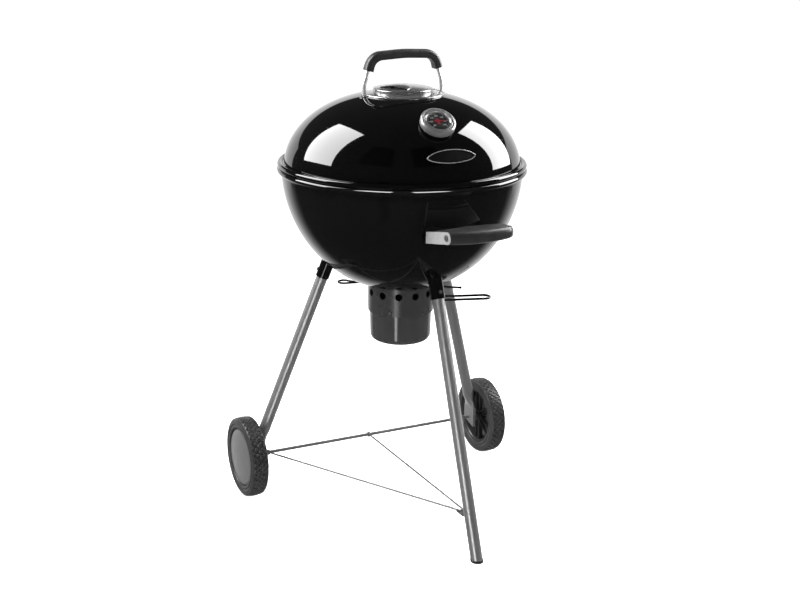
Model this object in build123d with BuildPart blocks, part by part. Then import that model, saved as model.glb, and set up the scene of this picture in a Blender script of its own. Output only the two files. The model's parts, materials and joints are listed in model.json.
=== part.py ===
"""Kettle charcoal grill on three tubular legs with two wheels. Millimetres, +Z up, front towards -Y."""

import os
from math import asin, atan2, cos, radians, sin, tan

from build123d import *

# Sheet steel shells of the kettle
sheet = 1.5
rim_height = 843.5
bead_radius = 6.5
bowl_radius = 283.3
bowl_depth = 296.3
bowl_powers = (2.07, 1.95)
bowl_outlet_radius = 68.0
bowl_outlet_depth = 20.0
lid_radius = 277.0
lid_rise = 175.0
lid_powers = (2.27, 1.94)
lid_skirt = 8.0
lid_bead_radius = 6.0
profile_stations = 9
seat_gap = 0.3
rim_radius = bowl_radius - 3.3 + 2 * bead_radius

# Stand: three legs leaning outwards, the front one on a foot, the rear ones on an axle
leg_tilt = 20.3
leg_radius = 14.0
leg_wall = 1.2
leg_top_height = 596.0
socket_radius = 16.5
socket_height = 566.0
socket_reach = 189.6
socket_bore_top = 598.0
fit_gap = 0.05
foot_radius = 15.2
foot_height = 16.0
foot_floor = 5.0
front_azimuth = 0.0
rear_azimuth = 120.0

# Axle, wheels and the thin rods that brace the front leg
axle_radius = 4.0
axle_height = 100.0
axle_running_gap = 0.06
wheel_radius = 100.0
wheel_centre = 336.0
tyre_width = 43.0
tyre_bore = 72.0
tyre_bevel = 7.0
tyre_shoulder = 11.0
wheel_rim_width = 34.0
wheel_rim_wall = 6.0
hub_inset = 8.0
spoke_thickness = 5.0
spoke_root = 14.0
spoke_foot = 20.0
hub_radius = 13.0
bush_radius = 7.0
spoke_count = 6
cap_crown = 360.0
paddle_centre = 301.1
paddle_thickness = 7.0
paddle_width = 48.0
paddle_top = 130.0
paddle_heel = 92.0
paddle_toe = 78.0
paddle_bend = 166.0
brace_radius = 2.25
brace_spread = 280.0
brace_front = 334.0

# Ash catcher below the bowl
collar_radius = 78.8
collar_bottom = 492.0
collar_top = 570.0
air_hole_radius = 8.7
air_hole_height = 541.0
air_hole_count = 12
sleeve_gap = 0.3
sleeve_wall = 1.2
sleeve_bottom = 510.0
sleeve_top = 547.4
pot_top = 507.0
pot_bottom = 417.6
pot_top_radius = 75.1
pot_bottom_radius = 72.7
pot_corner = 15.0
pot_wall = 1.0
pin_height = 502.0
pin_radius = 2.6
pin_stand = 2.2
flap_height = 551.0
flap_rod_radius = 2.5
flap_rod_gap = 0.08
flap_radius = 66.0
flap_azimuth = 55.0
air_lever_azimuth = 72.2
air_lever_height = 513.0
air_lever_reach = 220.0
air_lever_radius = 3.0

# Grates
cooking_grate_height = 795.0
cooking_grate_radius = 272.0
charcoal_grate_height = 656.0
charcoal_grate_radius = 215.0

# Lid fittings
bail_radius = 4.75
bail_foot = 99.0
bail_knee = 1035.0
bail_shoulder = 80.0
bail_top = 1103.0
bail_crown = 4.0
grip_start = 1067.0
vent_radius = 70.0
gauge_radius = 40.0
gauge_azimuth = -5.3
gauge_reach = 203.0
badge_azimuth = -2.0
badge_reach = 258.0

# Front handle on the bowl
handle_half_width = 77.0
handle_plate = 2.5
handle_tip_y = -367.0
handle_tip_height = 757.5
handle_tip_radius = 13.5
handle_root_y = -273.0
handle_root_top = 751.0
handle_root_bottom = 725.0

# The kettle's axis stands a little behind the middle of the whole outline
leg_slope = tan(radians(leg_tilt))
foot_reach = socket_reach + socket_height * leg_slope
kettle_y = (foot_reach + foot_radius / cos(radians(leg_tilt)) - rim_radius) / 2
kettle = Plane(origin=(0, kettle_y, 0))
kettle_axis = Axis((0, kettle_y, 0), (0, 0, 1))
section = Plane(origin=(0, kettle_y, 0), x_dir=(1, 0, 0), z_dir=(0, -1, 0))
side = Plane(origin=(0, kettle_y, 0), x_dir=(0, 1, 0), z_dir=(1, 0, 0))
axle_y = kettle_y + (socket_reach + (socket_height - 138.9) * leg_slope) * 0.5
axle_axis = Axis((0, axle_y, axle_height), (1, 0, 0))
ON_BASE = (Align.CENTER, Align.CENTER, Align.MIN)

os.makedirs("parts", exist_ok=True)


def save(builder, name):
    """Label a finished piece and write it as its own STEP file."""
    builder.part.label = name
    export_step(builder.part, f"parts/{name}.step")


def around(azimuth, radius, height):
    """A point round the kettle's axis; azimuth is in degrees from the front towards +X."""
    angle = radians(azimuth)
    return Vector(radius * sin(angle), kettle_y - radius * cos(angle), height)


def radial_plane(azimuth, radius, height):
    """A plane that faces away from the kettle's axis, with local X level and local Y up."""
    angle = radians(azimuth)
    level = (cos(angle), sin(angle), 0)
    outwards = (sin(angle), -cos(angle), 0)
    return Plane(origin=around(azimuth, radius, height), x_dir=level, z_dir=outwards)


def leg_point(azimuth, height):
    """The point of a leg's centre line at a height."""
    return around(azimuth, socket_reach + (socket_height - height) * leg_slope, height)


def rod(start, end, radius, mode=Mode.ADD):
    """A round bar from one point to another."""
    run = Vector(*end) - Vector(*start)
    with Locations(Plane(origin=start, z_dir=run)):
        Cylinder(radius, run.length, align=ON_BASE, mode=mode)


def dome_points(radius, rise, powers):
    """Points of a superellipse quarter, from its pole to its equator, as (radius, height)."""
    points = []
    for step in range(profile_stations):
        angle = radians(90 * step / (profile_stations - 1))
        points.append((radius * sin(angle) ** (2 / powers[0]), rise * cos(angle) ** (2 / powers[1])))
    points[-1] = (radius, 0)
    return points


def lid_height(reach):
    """Height of the lid's outer surface at a distance from the axis."""
    share = 1 - (reach / lid_radius) ** lid_powers[0]
    return rim_height + lid_rise * share ** (1 / lid_powers[1])


def lid_plane(azimuth, reach):
    """The plane that touches the lid's outer surface at a point, facing outwards."""
    height = lid_height(reach)
    across = lid_powers[0] * (reach / lid_radius) ** lid_powers[0] / reach
    rise = height - rim_height
    up = lid_powers[1] * (rise / lid_rise) ** lid_powers[1] / rise
    tilt = atan2(across, up)
    angle = radians(azimuth)
    normal = (sin(tilt) * sin(angle), -sin(tilt) * cos(angle), cos(tilt))
    return Plane(origin=around(azimuth, reach, height), x_dir=(cos(angle), sin(angle), 0), z_dir=normal)


def bowl_form(shrink):
    """The solid that the bowl's outer surface encloses, made smaller by a thickness."""
    radius = bowl_radius - shrink
    depth = bowl_depth - shrink
    outline = [(r, rim_height - drop) for r, drop in dome_points(radius, depth, bowl_powers)]
    with BuildPart() as form:
        with BuildSketch(section) as half:
            with BuildLine():
                Spline(*outline, tangents=[(1, 0), (0, 1)])
                Polyline(outline[-1], (0, rim_height), outline[0])
            make_face()
        revolve(half.sketch, axis=kettle_axis)
    return form.part


def lid_form(grow):
    """The solid that the lid's outer surface encloses, made larger by a thickness."""
    outline = dome_points(lid_radius + grow, lid_rise + grow, lid_powers)
    outline = [(r, rim_height + rise) for r, rise in outline]
    with BuildPart() as form:
        with BuildSketch(section) as half:
            with BuildLine():
                Spline(*outline, tangents=[(1, 0), (0, -1)])
                Polyline(outline[-1], (0, rim_height), outline[0])
            make_face()
        revolve(half.sketch, axis=kettle_axis)
    return form.part


bowl_outside = bowl_form(0)
bowl_inside = bowl_form(sheet)
lid_outside = lid_form(0)
lid_inside = lid_form(-sheet)

# Bowl: deep shell with a rolled rim and an open outlet at the bottom
with BuildPart() as bowl:
    add(bowl_outside)
    with BuildSketch(section):
        with Locations((rim_radius - bead_radius, rim_height - bead_radius)):
            Circle(bead_radius)
    revolve(axis=kettle_axis)
    add(bowl_inside, mode=Mode.SUBTRACT)
    with BuildSketch(kettle.offset(rim_height - bowl_depth - sheet)):
        Circle(bowl_outlet_radius)
    extrude(amount=bowl_outlet_depth, mode=Mode.SUBTRACT)
save(bowl, "bowl")

# Lid: dome with a locating skirt inside the bowl's mouth and a rolled bead that rests on the bowl's
lid_bead_height = rim_height + seat_gap + lid_bead_radius
lid_bead_reach = rim_radius - bead_radius - 0.5
web_thickness = 3.0
vent_hole_radius = 11.0
vent_hole_reach = 38.0
rivet_radius = 3.0
rivet_gap = 0.1
bolt_radius = 2.5
bolt_length = 14.0
stem_radius = 3.2
stem_hole_depth = 20.0
gauge = lid_plane(gauge_azimuth, gauge_reach)
with BuildPart() as lid:
    add(lid_outside)
    with BuildSketch(kettle.offset(rim_height - lid_skirt)):
        Circle(lid_radius)
    extrude(amount=lid_skirt)
    with BuildSketch(section):
        with Locations((lid_bead_reach, lid_bead_height)):
            Circle(lid_bead_radius)
        with Locations(((lid_radius + lid_bead_reach) / 2, lid_bead_height)):
            Rectangle(lid_bead_reach - lid_radius + sheet, web_thickness)
    revolve(axis=kettle_axis)
    add(lid_inside, mode=Mode.SUBTRACT)
    with BuildSketch(kettle.offset(rim_height - lid_skirt)):
        Circle(lid_radius - sheet)
    extrude(amount=lid_skirt, mode=Mode.SUBTRACT)
    with BuildSketch(kettle.offset(rim_height + lid_rise / 2)):
        with PolarLocations(vent_hole_reach, 4, start_angle=45):
            Circle(vent_hole_radius)
        Circle(rivet_radius)
        with Locations((-bail_foot, 0), (bail_foot, 0)):
            Circle(bolt_radius)
    extrude(amount=lid_rise, mode=Mode.SUBTRACT)
    with Locations(gauge):
        Cylinder(stem_radius, stem_hole_depth, mode=Mode.SUBTRACT)
save(lid, "lid")

# Raised oval badge plate that follows the lid
badge_length = 120.0
badge_width = 34.0
badge_thickness = 2.5
badge_sink = 12.0
with BuildPart() as badge:
    with BuildSketch(lid_plane(badge_azimuth, badge_reach).offset(-badge_sink)):
        Ellipse(badge_length / 2, badge_width / 2)
    extrude(amount=2 * badge_sink)
    add(lid_form(badge_thickness), mode=Mode.INTERSECT)
    add(lid_outside, mode=Mode.SUBTRACT)
save(badge, "lid_badge")

# Bail handle: bent rod, bolted through two ears of the vent's base
bail_foot_height = lid_height(bail_foot - bail_radius) + sheet
bail_points = [
    (-bail_foot, bail_foot_height),
    (-bail_foot, bail_knee),
    (-bail_shoulder, bail_top - bail_crown),
    (0, bail_top),
    (bail_shoulder, bail_top - bail_crown),
    (bail_foot, bail_knee),
    (bail_foot, bail_foot_height),
]
bail_bends = [60.0, 32.0, 300.0, 32.0, 60.0]
with BuildPart() as bail:
    with BuildLine(section) as bail_line:
        FilletPolyline(*bail_points, radius=bail_bends)
    with BuildSketch(Plane(bail_line.line @ 0, z_dir=bail_line.line % 0)):
        Circle(bail_radius)
    sweep()
    for end in (-90, 90):
        bolt_top = around(end, bail_foot, bail_foot_height)
        rod(bolt_top, bolt_top - Vector(0, 0, bolt_length), bolt_radius - rivet_gap)
save(bail, "lid_handle_rod")

grip_width = 26.0
grip_thickness = 21.0
grip_corner = 7.0
knee_to_start = (grip_start - bail_knee) / (bail_top - bail_crown - bail_knee)
grip_end_reach = bail_foot - (bail_foot - bail_shoulder) * knee_to_start
grip_points = [(-grip_end_reach, grip_start), *bail_points[2:5], (grip_end_reach, grip_start)]
with BuildPart() as bail_grip:
    with BuildLine(section) as grip_line:
        FilletPolyline(*grip_points, radius=bail_bends[1:4])
    with BuildSketch(Plane(grip_line.line @ 0, x_dir=(0, 1, 0), z_dir=grip_line.line % 0)):
        RectangleRounded(grip_width, grip_thickness, grip_corner)
    sweep()
    add(bail.part, mode=Mode.SUBTRACT)
save(bail_grip, "lid_handle_grip")

nut_drop = 10.0
nut_height = 5.0
nut_corner_radius = 6.0
with BuildPart() as bail_nuts:
    for end in (-90, 90):
        with BuildSketch(Plane(around(end, bail_foot, lid_height(bail_foot) - nut_drop))):
            RegularPolygon(nut_corner_radius, 6)
            Circle(bolt_radius, mode=Mode.SUBTRACT)
        extrude(amount=nut_height)
save(bail_nuts, "lid_handle_nuts")

# Vent: base plate with a raised lip and two ears, and a domed cap with one hood that turns on a rivet
base_lip_top = 1020.7
base_radius = 97.0
# The turned faces start and end at this angle, clear of every hole
base_seam = 20.0
ear_width = 22.0
with BuildPart() as vent_base:
    with BuildSketch(kettle.offset(rim_height + lid_rise / 2)):
        Circle(base_radius)
        SlotOverall(2 * bail_foot + ear_width, ear_width)
    extrude(amount=lid_rise)
    add(lid_form(sheet).rotate(kettle_axis, base_seam), mode=Mode.INTERSECT)
    add(lid_outside.rotate(kettle_axis, base_seam), mode=Mode.SUBTRACT)
    lip_foot = lid_height(vent_radius) + sheet / 2
    with BuildSketch(kettle.offset(lip_foot)):
        Circle(vent_radius)
        Circle(vent_radius - sheet, mode=Mode.SUBTRACT)
    extrude(amount=base_lip_top - lip_foot)
    with BuildSketch(kettle.offset(rim_height + lid_rise / 2)):
        with PolarLocations(vent_hole_reach, 4, start_angle=45):
            Circle(vent_hole_radius)
        Circle(rivet_radius)
        with Locations((-bail_foot, 0), (bail_foot, 0)):
            Circle(bolt_radius)
    extrude(amount=lid_rise, mode=Mode.SUBTRACT)
save(vent_base, "vent_base")

cap_edge = base_lip_top + seat_gap
cap_rise = 10.0
cap_hub_radius = 8.0
hood_azimuth = -50.0
hood_reach = 36.0
hood_length = 74.0
hood_rise = 10.0
hood_sink = 4.0
hood_arc = 80.0
tab_azimuth = 63.0
tab_reach = 78.0
tab_width = 12.0


def cap_form(shrink):
    """The solid below the vent cap's dome, made smaller by a thickness."""
    crown = (0, cap_edge + cap_rise - shrink)
    edge = (vent_radius - shrink, cap_edge)
    with BuildPart() as form:
        with BuildSketch(section) as half:
            with BuildLine():
                TangentArc(crown, edge, tangent=(1, 0))
                Polyline(edge, (0, cap_edge), crown)
            make_face()
        revolve(half.sketch, axis=kettle_axis)
    return form.part


hood_ridge = radial_plane(hood_azimuth, hood_reach, cap_edge + hood_sink)
with BuildPart() as vent_cap:
    add(cap_form(0))
    add(cap_form(sheet), mode=Mode.SUBTRACT)
    with BuildSketch(hood_ridge) as lens:
        with BuildLine():
            ThreePointArc((-hood_length / 2, 0), (0, hood_rise), (hood_length / 2, 0))
            ThreePointArc((-hood_length / 2, 0), (0, hood_rise - sheet), (hood_length / 2, 0))
        make_face()
    revolve(lens.sketch, axis=Axis(hood_ridge.origin, hood_ridge.x_dir), revolution_arc=hood_arc)
    with BuildSketch(radial_plane(tab_azimuth, vent_radius - sheet, cap_edge + sheet / 2)):
        Rectangle(tab_width, sheet)
    extrude(amount=tab_reach - vent_radius)
    with BuildSketch(kettle.offset(cap_edge)):
        Circle(cap_hub_radius)
    extrude(amount=cap_rise - sheet)
    with BuildSketch(kettle.offset(cap_edge)):
        Circle(rivet_radius + fit_gap)
    extrude(amount=2 * cap_rise, mode=Mode.SUBTRACT)
save(vent_cap, "vent_cap")

rivet_head = 2.5
rivet_foot = 4.0
with BuildPart() as vent_rivet:
    rivet_top = around(0, 0, cap_edge + cap_rise + seat_gap)
    rod(around(0, 0, lid_height(0) - rivet_foot), rivet_top, rivet_radius - fit_gap)
    with Locations(rivet_top):
        Cylinder(cap_hub_radius - 1, rivet_head, align=ON_BASE)
    fillet(vent_rivet.edges().group_by(Axis.Z)[-1], rivet_head - 1)
save(vent_rivet, "vent_rivet")

# Thermometer on the front of the lid
gauge_depth = 24.0
gauge_neck = 4.0
gauge_neck_radius = 14.0
bezel_radius = 33.0
bezel_level = 20.0
bezel_round = 3.5
dial_radius = 26.0
dial_level = 15.0
dial_thickness = 1.2
needle_tip = 22.0
needle_tail = 8.0
with BuildPart() as gauge_case:
    with BuildSketch(gauge.offset(gauge_neck)):
        Circle(gauge_radius)
    extrude(amount=gauge_depth - gauge_neck)
    with BuildSketch(gauge):
        Circle(gauge_neck_radius)
    extrude(amount=gauge_neck)
    with BuildSketch(gauge.offset(dial_level - sheet)):
        Circle(dial_radius + 0.5)
    extrude(amount=gauge_depth, mode=Mode.SUBTRACT)
    with BuildSketch(gauge.offset(bezel_level)):
        Circle(bezel_radius)
    extrude(amount=gauge_depth, mode=Mode.SUBTRACT)
    fillet(gauge_case.edges().filter_by(GeomType.CIRCLE).sort_by(SortBy.RADIUS)[-2:], bezel_round)
    add(lid_outside, mode=Mode.SUBTRACT)
    with Locations(gauge):
        Cylinder(stem_radius, 2 * gauge_depth, mode=Mode.SUBTRACT)
save(gauge_case, "thermometer_case")

with BuildPart() as gauge_dial:
    with BuildSketch(gauge.offset(dial_level - dial_thickness)):
        Circle(dial_radius)
        Circle(stem_radius, mode=Mode.SUBTRACT)
    extrude(amount=dial_thickness)
save(gauge_dial, "thermometer_dial")

with BuildPart() as gauge_glass:
    with BuildSketch(gauge.offset(bezel_level + fit_gap)):
        Circle(bezel_radius - seat_gap)
    extrude(amount=sheet)
save(gauge_glass, "thermometer_glass")

with BuildPart() as gauge_needle:
    with BuildSketch(gauge.offset(dial_level + 1)):
        with BuildLine():
            Polyline(
                (-needle_tail, 1.6),
                (needle_tip, 0.4),
                (needle_tip, -0.4),
                (-needle_tail, -1.6),
                (-needle_tail, 1.6),
            )
        make_face()
        Circle(3.5)
    extrude(amount=1)
save(gauge_needle, "thermometer_needle")

stem_length = 75.0
with BuildPart() as gauge_stem:
    with BuildSketch(gauge.offset(-stem_length)):
        Circle(stem_radius - fit_gap)
    extrude(amount=stem_length + dial_level)
save(gauge_stem, "thermometer_stem")

gauge_nut_size = 9.0
gauge_nut_drop = 8.0
with BuildPart() as gauge_nut:
    with BuildSketch(gauge.offset(-gauge_nut_drop)):
        RegularPolygon(gauge_nut_size, 6)
        Circle(stem_radius, mode=Mode.SUBTRACT)
    extrude(amount=nut_height)
save(gauge_nut, "thermometer_nut")

# Legs in black sleeves under the bowl
leg_names = {"front": front_azimuth, "rear_left": -rear_azimuth, "rear_right": rear_azimuth}
for place, azimuth in leg_names.items():
    with BuildPart() as socket:
        rod(leg_point(azimuth, socket_height), leg_point(azimuth, 650), socket_radius)
        rod(
            leg_point(azimuth, socket_height - 20),
            leg_point(azimuth, socket_bore_top),
            leg_radius + fit_gap,
            Mode.SUBTRACT,
        )
        add(bowl_outside, mode=Mode.SUBTRACT)
    save(socket, f"leg_socket_{place}")

with BuildPart() as socket_screws:
    for azimuth in leg_names.values():
        sleeve_middle = leg_point(azimuth, socket_height + 14)
        level = radial_plane(azimuth, 0, 0).z_dir
        square_to_leg = level * cos(radians(leg_tilt)) + Vector(0, 0, sin(radians(leg_tilt)))
        with Locations(Plane(origin=sleeve_middle, z_dir=square_to_leg)):
            Cylinder(4, socket_radius + 2.5, align=ON_BASE)
        rod(leg_point(azimuth, socket_height), leg_point(azimuth, 600), socket_radius, Mode.SUBTRACT)
save(socket_screws, "socket_screws")

with BuildPart() as front_leg:
    rod(leg_point(0, -30), leg_point(0, leg_top_height), leg_radius)
    rod(leg_point(0, -40), leg_point(0, leg_top_height + 10), leg_radius - leg_wall, Mode.SUBTRACT)
    split(bisect_by=Plane.XY.offset(foot_floor), keep=Keep.TOP)
save(front_leg, "front_leg")

with BuildPart() as foot:
    rod(leg_point(0, -30), leg_point(0, foot_height), foot_radius)
    split(bisect_by=Plane.XY, keep=Keep.TOP)
    add(front_leg.part, mode=Mode.SUBTRACT)
save(foot, "front_foot_cap")

for place, azimuth in (("left", -rear_azimuth), ("right", rear_azimuth)):
    paddle_x = paddle_centre if azimuth > 0 else -paddle_centre
    with BuildPart() as rear_leg:
        lean = leg_point(azimuth, leg_top_height) - leg_point(azimuth, paddle_bend)
        with BuildSketch(Plane(origin=leg_point(azimuth, paddle_bend), z_dir=lean)):
            Circle(leg_radius)
        with BuildSketch(Plane(origin=(paddle_x, axle_y, paddle_top))):
            SlotOverall(paddle_width, paddle_thickness, rotation=90)
        loft()
        rod(leg_point(azimuth, paddle_bend), leg_point(azimuth, leg_top_height), leg_radius)
        rod(
            leg_point(azimuth, paddle_bend + 4),
            leg_point(azimuth, leg_top_height + 10),
            leg_radius - leg_wall,
            Mode.SUBTRACT,
        )
        with BuildSketch(Plane(origin=(paddle_x, axle_y, 0), x_dir=(0, 1, 0), z_dir=(1, 0, 0))):
            with BuildLine():
                Polyline(
                    (-paddle_width / 2, paddle_top),
                    (paddle_width / 2, paddle_top),
                    (paddle_width / 2, paddle_heel),
                    (-paddle_width / 2, paddle_toe),
                    (-paddle_width / 2, paddle_top),
                )
            make_face()
        extrude(amount=paddle_thickness / 2, both=True)
        with Locations(Plane(origin=(paddle_x, axle_y, axle_height), z_dir=(1, 0, 0))):
            Cylinder(axle_radius + fit_gap, 40, mode=Mode.SUBTRACT)
    save(rear_leg, f"rear_leg_{place}")

# Axle with its spacers and nuts
axle_end = 352.0
axle_left = Vector(-axle_end, axle_y, axle_height)
axle_right = Vector(axle_end, axle_y, axle_height)
with BuildPart() as axle:
    rod(axle_left, axle_right, axle_radius)
save(axle, "axle")

spacer_radius = 8.5
spacer_start = paddle_centre + paddle_thickness / 2
hub_start = wheel_centre - wheel_rim_width / 2
hub_end = wheel_centre + wheel_rim_width / 2 - hub_inset
with BuildPart() as spacers:
    for hand in (-1, 1):
        near = (hand * spacer_start, axle_y, axle_height)
        far = (hand * (hub_start - seat_gap), axle_y, axle_height)
        rod(near, far, spacer_radius)
    rod(axle_left, axle_right, axle_radius + fit_gap, Mode.SUBTRACT)
save(spacers, "axle_spacers")

axle_nut_size = 8.0
axle_nut_height = 6.0
with BuildPart() as axle_nuts:
    for hand in (-1, 1):
        nut_face = (hand * (hub_end + seat_gap), axle_y, axle_height)
        with BuildSketch(Plane(origin=nut_face, z_dir=(hand, 0, 0))):
            RegularPolygon(axle_nut_size, 6)
            Circle(axle_radius + fit_gap, mode=Mode.SUBTRACT)
        extrude(amount=axle_nut_height)
save(axle_nuts, "axle_nuts")


def wheel_pieces(hand):
    """Tyre, spoked rim, hub bush and domed cap of one wheel; hand is -1 on the left and 1 on the right."""
    centre = (hand * wheel_centre, axle_y, axle_height)
    across = Plane(origin=centre, x_dir=(hand, 0, 0), z_dir=(0, -hand, 0))
    facing = Plane(origin=centre, z_dir=(hand, 0, 0))
    half = tyre_width / 2
    half_rim = wheel_rim_width / 2
    with BuildPart() as tyre:
        with BuildSketch(across) as tread:
            with BuildLine():
                Polyline(
                    (-half_rim, tyre_bore),
                    (half_rim, tyre_bore),
                    (half, tyre_bore + tyre_bevel),
                    (half, wheel_radius),
                    (-half, wheel_radius),
                    (-half, tyre_bore + tyre_bevel),
                    (-half_rim, tyre_bore),
                )
            make_face()
            fillet(tread.vertices().group_by(Axis.Y)[-1], tyre_shoulder)
        revolve(tread.sketch, axis=axle_axis)
    with BuildPart() as rim:
        with BuildSketch(facing.offset(-half_rim)) as ring:
            Circle(tyre_bore)
            Circle(tyre_bore - wheel_rim_wall, mode=Mode.SUBTRACT)
        extrude(ring.sketch, amount=wheel_rim_width - 1)
        with BuildSketch(facing.offset(-half_rim)) as hub:
            Circle(hub_radius)
        extrude(hub.sketch, amount=wheel_rim_width - hub_inset)
        with BuildSketch(facing.offset(-spoke_thickness)) as spokes:
            with PolarLocations(0, spoke_count):
                with BuildLine():
                    Polyline(
                        (bush_radius + 1, spoke_root / 2),
                        (tyre_bore - wheel_rim_wall / 2, spoke_foot / 2),
                        (tyre_bore - wheel_rim_wall / 2, -spoke_foot / 2),
                        (bush_radius + 1, -spoke_root / 2),
                        (bush_radius + 1, spoke_root / 2),
                    )
                make_face()
        extrude(spokes.sketch, amount=spoke_thickness)
        with BuildSketch(facing.offset(-half_rim)) as bore:
            Circle(bush_radius)
        extrude(bore.sketch, amount=wheel_rim_width, mode=Mode.SUBTRACT)
    with BuildPart() as bush:
        with BuildSketch(facing.offset(-half_rim)) as sleeve:
            Circle(bush_radius)
            Circle(axle_radius + axle_running_gap, mode=Mode.SUBTRACT)
        extrude(sleeve.sketch, amount=wheel_rim_width - hub_inset)
    with BuildPart() as cap:
        crown = cap_crown - wheel_centre
        edge = half_rim - 1 + sheet
        rim_of_cap = tyre_bore - 0.5
        with BuildSketch(across) as shell:
            with BuildLine():
                TangentArc((crown, 0), (edge, rim_of_cap), tangent=(0, 1))
                Line((edge, rim_of_cap), (edge - sheet, rim_of_cap))
                TangentArc((crown - sheet, 0), (edge - sheet, rim_of_cap), tangent=(0, 1))
                Line((crown - sheet, 0), (crown, 0))
            make_face()
        revolve(shell.sketch, axis=axle_axis)
    return {"tyre": tyre, "wheel_rim": rim, "hub_bush": bush, "hub_cap": cap}


for hand, place in ((-1, "left"), (1, "right")):
    for piece, builder in wheel_pieces(hand).items():
        save(builder, f"{piece}_{place}")

# Brace rods: an eye round the axle, and a straight run to a small plate behind the front leg
brace_eye_radius = 7.0
brace_eye_half_width = 2.0
brace_tip_spread = 8.0
for place, offset in (("left", -1), ("middle", 0), ("right", 1)):
    eye = Vector(offset * brace_spread, axle_y, axle_height)
    tip = Vector(offset * brace_tip_spread, kettle_y - brace_front, axle_height)
    eye_reach = Vector(brace_eye_half_width, 0, 0)
    with BuildPart() as brace:
        rod(eye, tip, brace_radius)
        rod(eye - eye_reach, eye + eye_reach, brace_eye_radius)
        rod(eye - eye_reach * 10, eye + eye_reach * 10, axle_radius + fit_gap, Mode.SUBTRACT)
    save(brace, f"brace_rod_{place}")

clip_top = axle_height - brace_radius - seat_gap
clip_back = 322.0
clip_front = 352.0
clip_width = 28.0
with BuildPart() as brace_clip:
    with Locations((0, kettle_y - (clip_back + clip_front) / 2, clip_top)):
        Box(clip_width, clip_front - clip_back, 2 * sheet, align=(Align.CENTER, Align.CENTER, Align.MAX))
    rod(leg_point(0, 60), leg_point(0, 140), leg_radius + fit_gap, Mode.SUBTRACT)
save(brace_clip, "brace_clip")

# Front handle: two tabs on the bowl, two cheek plates, a heat shield between them and a moulded grip
shield_slope = (handle_tip_height + handle_tip_radius - handle_root_top) / (handle_root_y - handle_tip_y)
for place, hand in (("left", -1), ("right", 1)):
    with BuildPart() as cheek:
        with BuildSketch(side.offset(hand * handle_half_width)):
            with BuildLine():
                Polyline(
                    (handle_tip_y, handle_tip_height + handle_tip_radius),
                    (handle_root_y, handle_root_top),
                    (handle_root_y, handle_root_bottom),
                    (handle_tip_y, handle_tip_height - handle_tip_radius),
                )
                ThreePointArc(
                    (handle_tip_y, handle_tip_height - handle_tip_radius),
                    (handle_tip_y - handle_tip_radius, handle_tip_height),
                    (handle_tip_y, handle_tip_height + handle_tip_radius),
                )
            make_face()
        extrude(amount=handle_plate / 2, both=True)
    save(cheek, f"handle_cheek_{place}")

shield_end = -333.0
inner_half = handle_half_width - handle_plate / 2
shield_end_top = handle_root_top + (handle_root_y - shield_end) * shield_slope
with BuildPart() as shield:
    with BuildSketch(side):
        with BuildLine():
            Polyline(
                (handle_root_y, handle_root_top),
                (shield_end, shield_end_top),
                (shield_end, shield_end_top - sheet),
                (handle_root_y, handle_root_top - sheet),
                (handle_root_y, handle_root_top),
            )
        make_face()
    extrude(amount=inner_half, both=True)
save(shield, "handle_heat_shield")

tab_tip_y = -300.0
tab_top = 747.0
tab_bottom = 729.0
with BuildPart() as handle_mount:
    for hand in (-1, 1):
        with BuildSketch(side.offset(hand * (inner_half - handle_plate / 2 - fit_gap))):
            with Locations(((tab_tip_y + handle_root_y) / 2 + 20, (tab_top + tab_bottom) / 2)):
                Rectangle(handle_root_y - tab_tip_y + 40, tab_top - tab_bottom)
        extrude(amount=handle_plate / 2, both=True)
    add(bowl_outside, mode=Mode.SUBTRACT)
save(handle_mount, "handle_mount")

grip_height = 29.0
grip_round = 10.0
grip_sections = ((-inner_half, -339.0, -380.0), (0, -334.5, -393.0), (inner_half, -339.0, -380.0))
with BuildPart() as grip:
    for x, back, front in grip_sections:
        middle = (x, kettle_y + (back + front) / 2, handle_tip_height)
        with BuildSketch(Plane(origin=middle, x_dir=(0, 1, 0), z_dir=(1, 0, 0))):
            RectangleRounded(back - front, grip_height, grip_round)
    loft()
save(grip, "handle_grip")

screw_radius = 7.0
screw_head = 2.5
with BuildPart() as handle_screws:
    for hand in (-1, 1):
        cheek_face = hand * (handle_half_width + handle_plate / 2)
        tip = Plane(origin=(cheek_face, kettle_y + handle_tip_y, handle_tip_height), z_dir=(hand, 0, 0))
        with BuildSketch(tip):
            Circle(screw_radius)
        extrude(amount=screw_head)
        with BuildSketch(tip.offset(screw_head / 2)):
            RegularPolygon(3, 6)
        extrude(amount=screw_head, mode=Mode.SUBTRACT)
save(handle_screws, "handle_screws")

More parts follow.
